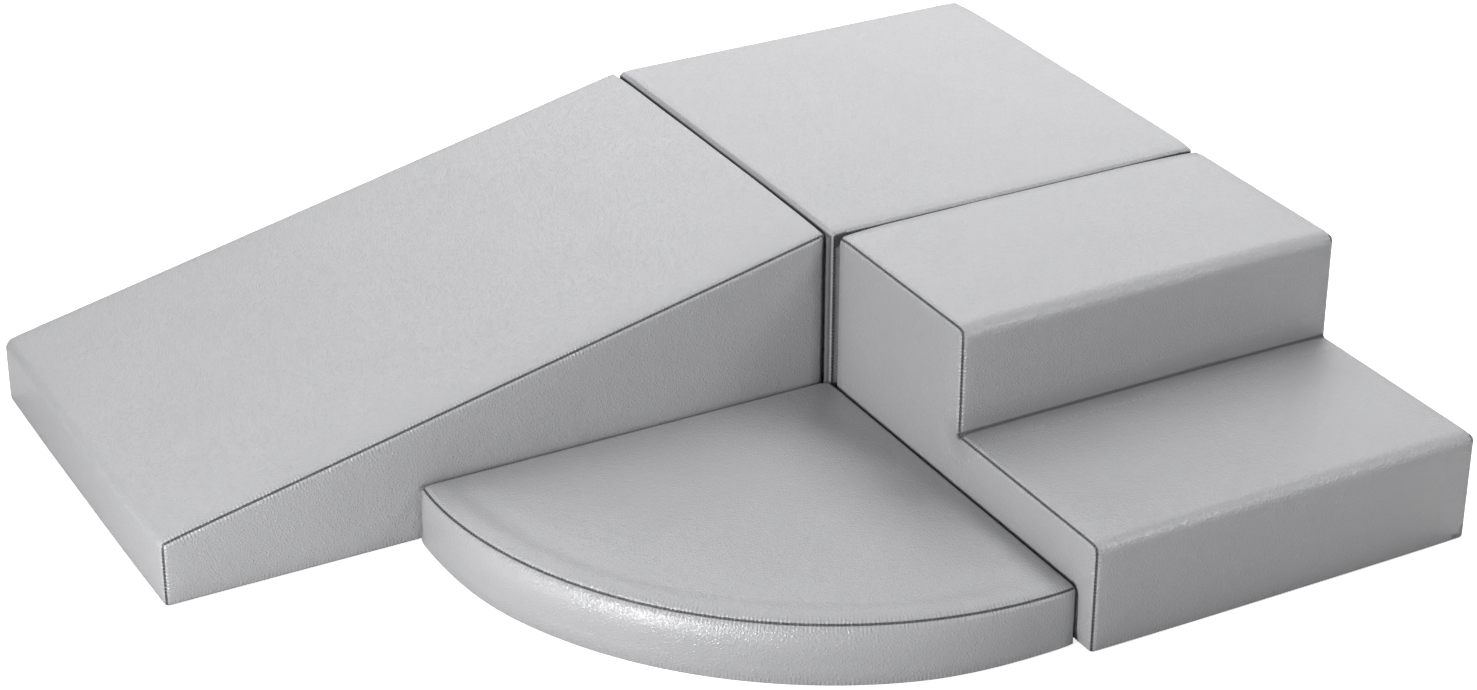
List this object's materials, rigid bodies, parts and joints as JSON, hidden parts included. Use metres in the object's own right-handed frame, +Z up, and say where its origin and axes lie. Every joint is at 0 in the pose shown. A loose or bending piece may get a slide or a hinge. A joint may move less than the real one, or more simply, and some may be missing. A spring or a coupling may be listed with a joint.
{
  "type": "soft play foam climber",
  "caption": "Soft foam climbing set: a sloping ramp, a square block, a stepped block and a quarter-round landing mat in sewn covers.",
  "frame": {"origin": "middle of the footprint of the whole set, on the floor", "axes": "+X from the ramp to the block, +Y from the steps to the block, +Z up"},
  "size_m": [1.534, 1.2578, 0.303],
  "materials": {
    "leather_grey": "satin",
    "grip_cloth": "matte",
    "foam": "matte",
    "zip_tape": "matte",
    "zip_metal": "satin",
    "hook_and_loop": "matte"
  },
  "bodies": {
    "block": {"block_foam_core": "foam", "block_cover_band": "leather_grey", "block_front_side_panel": "leather_grey", "block_back_side_panel": "leather_grey", "block_base_panel": "grip_cloth", "block_zip_upper_tape": "zip_tape", "block_zip_lower_tape": "zip_tape", "block_left_loop_strip": "hook_and_loop", "block_front_loop_strip": "hook_and_loop"},
    "ramp": {"ramp_foam_core": "foam", "ramp_cover_band": "leather_grey", "ramp_front_side_panel": "leather_grey", "ramp_back_side_panel": "leather_grey", "ramp_base_panel": "grip_cloth", "ramp_zip_upper_tape": "zip_tape", "ramp_zip_lower_tape": "zip_tape", "ramp_end_hook_strip": "hook_and_loop", "ramp_side_hook_strip": "hook_and_loop"},
    "steps": {"steps_lower_foam": "foam", "steps_upper_foam": "foam", "steps_cover_band": "leather_grey", "steps_left_side_panel": "leather_grey", "steps_right_side_panel": "leather_grey", "steps_base_panel": "grip_cloth", "steps_zip_upper_tape": "zip_tape", "steps_zip_lower_tape": "zip_tape", "steps_back_hook_strip": "hook_and_loop"},
    "mat": {"mat_foam_core": "foam", "mat_top_panel": "leather_grey", "mat_arc_band": "leather_grey", "mat_zip_band": "leather_grey", "mat_base_panel": "grip_cloth", "mat_zip_upper_tape": "zip_tape", "mat_zip_lower_tape": "zip_tape", "mat_back_loop_strip": "hook_and_loop"},
    "block_slider": {"block_zip_slider": "zip_metal"},
    "ramp_slider": {"ramp_zip_slider": "zip_metal"},
    "steps_slider": {"steps_zip_slider": "zip_metal"},
    "mat_slider": {"mat_zip_slider": "zip_metal"}
  },
  "joints": [
    {"name": "ramp_pull_away", "type": "slide", "parent": "block", "child": "ramp", "axis": [-1, 0, 0], "range_m": [0, 0.25]},
    {"name": "steps_pull_away", "type": "slide", "parent": "block", "child": "steps", "axis": [0, -1, 0], "range_m": [0, 0.25]},
    {"name": "mat_pull_away", "type": "slide", "parent": "block", "child": "mat", "axis": [-0.7071, -0.7071, 0], "range_m": [0, 0.25]},
    {"name": "block_zip", "type": "slide", "parent": "block", "child": "block_slider", "axis": [-1, 0, 0], "range_m": [0, 0.404]},
    {"name": "ramp_zip", "type": "slide", "parent": "ramp", "child": "ramp_slider", "axis": [-1, 0, 0], "range_m": [0, 0.404]},
    {"name": "steps_zip", "type": "slide", "parent": "steps", "child": "steps_slider", "axis": [0, 1, 0], "range_m": [0, 0.404]},
    {"name": "mat_zip", "type": "slide", "parent": "mat", "child": "mat_slider", "axis": [0, 1, 0], "range_m": [0, 0.344]}
  ]
}
